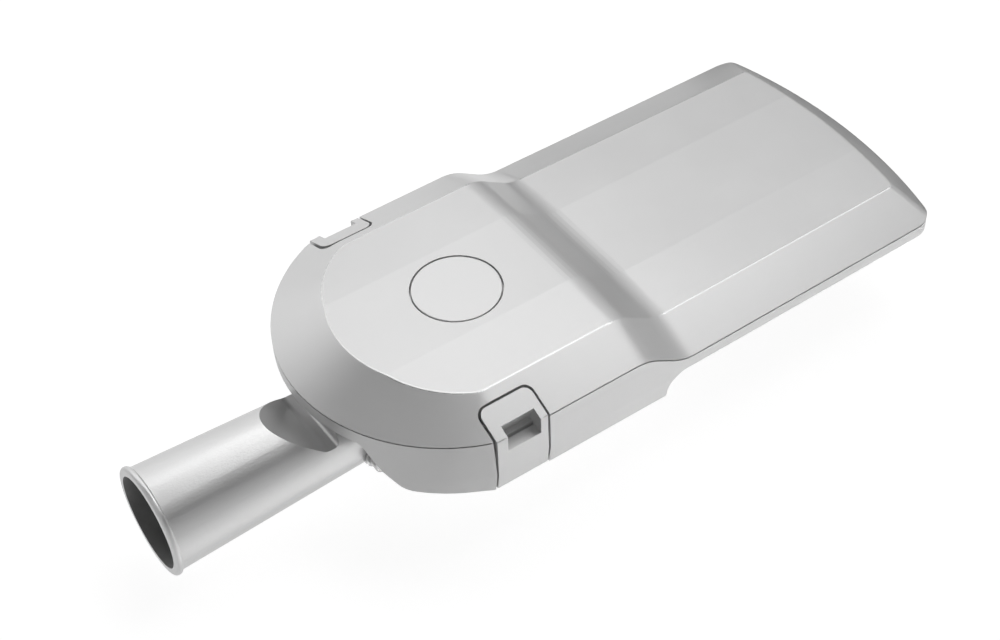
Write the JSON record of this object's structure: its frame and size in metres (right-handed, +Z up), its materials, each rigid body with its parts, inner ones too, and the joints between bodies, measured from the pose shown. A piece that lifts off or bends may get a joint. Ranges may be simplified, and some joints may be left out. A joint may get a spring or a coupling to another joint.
{
  "type": "led street light head",
  "caption": "Flat street light head with a domed gear end, a stepped-down LED end, a lift-up cover held by side latches, and a tilting spigot for a pole end.",
  "frame": {"origin": "centre of the spigot's open mouth, in the plane of its rim", "axes": "+X along the head from the spigot's mouth to the LED tip, +Z up, +Y to the left side seen from the mouth"},
  "size_m": [0.5379, 0.2108, 0.1016],
  "materials": {
    "bare_aluminium": "mill finish",
    "board_white": "matt white",
    "cap_plastic": "satin light grey",
    "clear_lens": "clear moulded",
    "driver_case": "matt off-white",
    "gland_plastic": "matt black",
    "led_yellow": "phosphor yellow",
    "painted_casting": "satin light grey paint",
    "retainer_plastic": "matt white",
    "seal_rubber": "matt",
    "spigot_metal": "satin, fine blasted skin",
    "steel": "plain stainless",
    "surge_plastic": "matt dark grey",
    "terminal_plastic": "matt grey",
    "toughened_glass": "clear polished",
    "zinc_sheet": "zinc plated"
  },
  "bodies": {
    "spigot_body": {"spigot": "spigot_metal", "spigot_set_screws": "steel"},
    "housing": {"pivot_bolts": "steel", "pivot_washers": "steel", "lower_frame": "painted_casting", "cover_seal": "seal_rubber", "latch_pins": "steel", "glass_seal": "seal_rubber", "glass_pane": "toughened_glass", "glass_retainer": "retainer_plastic", "heat_plate": "bare_aluminium", "heat_plate_screws": "steel", "led_boards": "board_white", "leds": "led_yellow", "lens_plates": "clear_lens", "board_screws": "steel", "gear_plate": "zinc_sheet", "gear_plate_screws": "steel", "led_driver": "driver_case", "driver_screws": "steel", "terminal_block": "terminal_plastic", "surge_protector": "surge_plastic", "gland_body": "gland_plastic", "gland_cap": "gland_plastic", "gland_insert": "seal_rubber", "gland_nut": "gland_plastic", "breather_vent": "gland_plastic", "earth_screw": "steel"},
    "cover": {"top_cover": "painted_casting", "socket_cap": "cap_plastic", "socket_seal": "seal_rubber", "socket_nut": "gland_plastic"},
    "left_latch": {"latch_left": "painted_casting"},
    "right_latch": {"latch_right": "painted_casting"}
  },
  "joints": [
    {"name": "spigot_tilt", "type": "hinge", "parent": "spigot_body", "child": "housing", "pos_m": [0.14, 0, -0.008], "axis": [0, 1, 0], "range_deg": [-15, 90]},
    {"name": "cover_hinge", "type": "hinge", "parent": "housing", "child": "cover", "pos_m": [0.5381, 0, 0.0282], "axis": [0, 1, 0], "range_deg": [0, 40]},
    {"name": "left_latch_hinge", "type": "hinge", "parent": "housing", "child": "left_latch", "pos_m": [0.1968, 0.0986, 0.007], "axis": [-1, 0, 0], "range_deg": [0, 90]},
    {"name": "right_latch_hinge", "type": "hinge", "parent": "housing", "child": "right_latch", "pos_m": [0.1968, -0.0986, 0.007], "axis": [1, 0, 0], "range_deg": [0, 90]}
  ]
}
